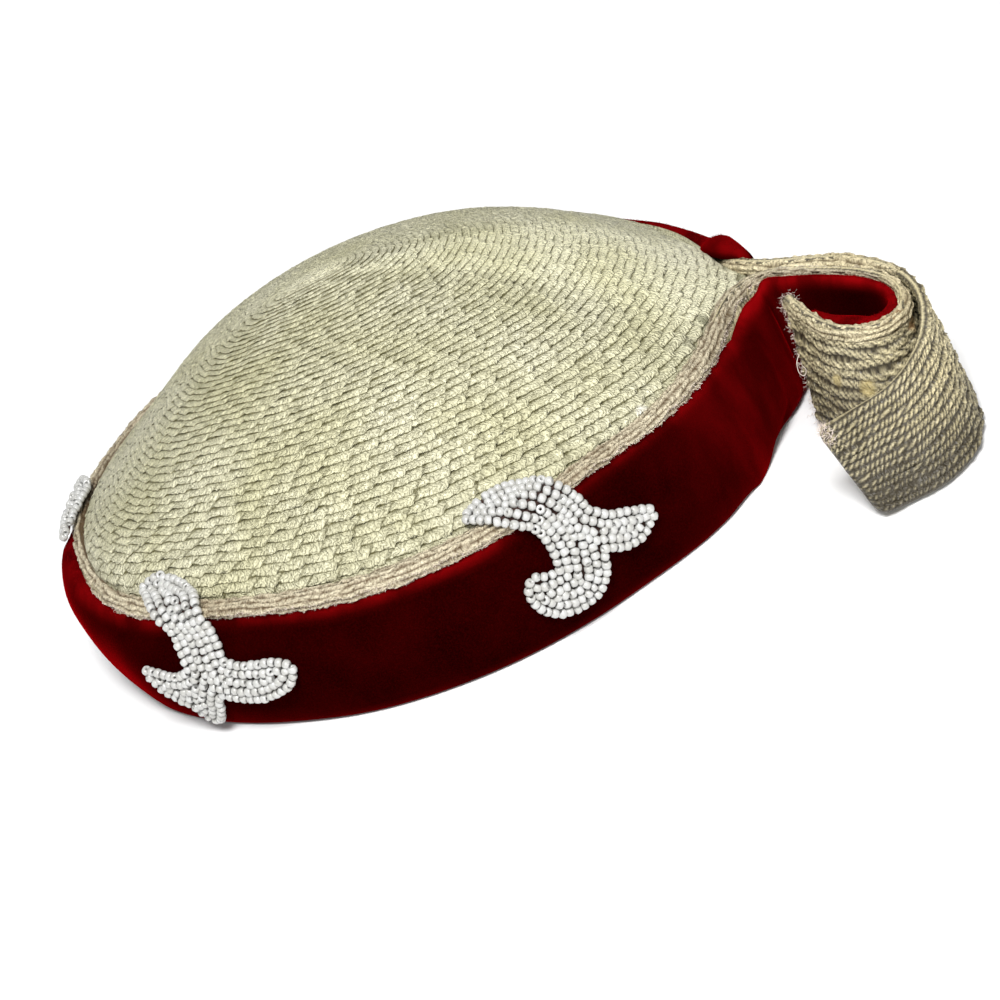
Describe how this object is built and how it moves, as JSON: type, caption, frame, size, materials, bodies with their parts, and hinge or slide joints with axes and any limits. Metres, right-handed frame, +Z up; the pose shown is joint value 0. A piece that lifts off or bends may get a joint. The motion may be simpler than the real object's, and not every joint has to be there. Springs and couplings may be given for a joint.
{
  "type": "headband hat",
  "caption": "Shallow straw hat with an upturned cuff faced in red velvet, white seed-bead appliques over the lip and a scroll of the cuff's own straw strip at one side.",
  "frame": {"origin": "middle of the hat's base, on the surface that it rests on", "axes": "+Z up, -Y towards the hat's front, +X towards the wearer's left, where the scroll is"},
  "size_m": [0.2118, 0.1844, 0.0664],
  "materials": {
    "crown_straw": "straw braid sewn in a spiral, soft sheen",
    "strip_straw": "fine straw braid rows, soft sheen",
    "red_velvet": "cut pile velvet",
    "white_beads": "opaque white glass, glossy"
  },
  "bodies": {
    "root": {"crown": "crown_straw", "straw_strip": "strip_straw", "velvet_facing": "red_velvet", "bead_motif_front_right": "white_beads", "bead_motif_front_left": "white_beads", "bead_motif_side": "white_beads"}
  },
  "joints": []
}
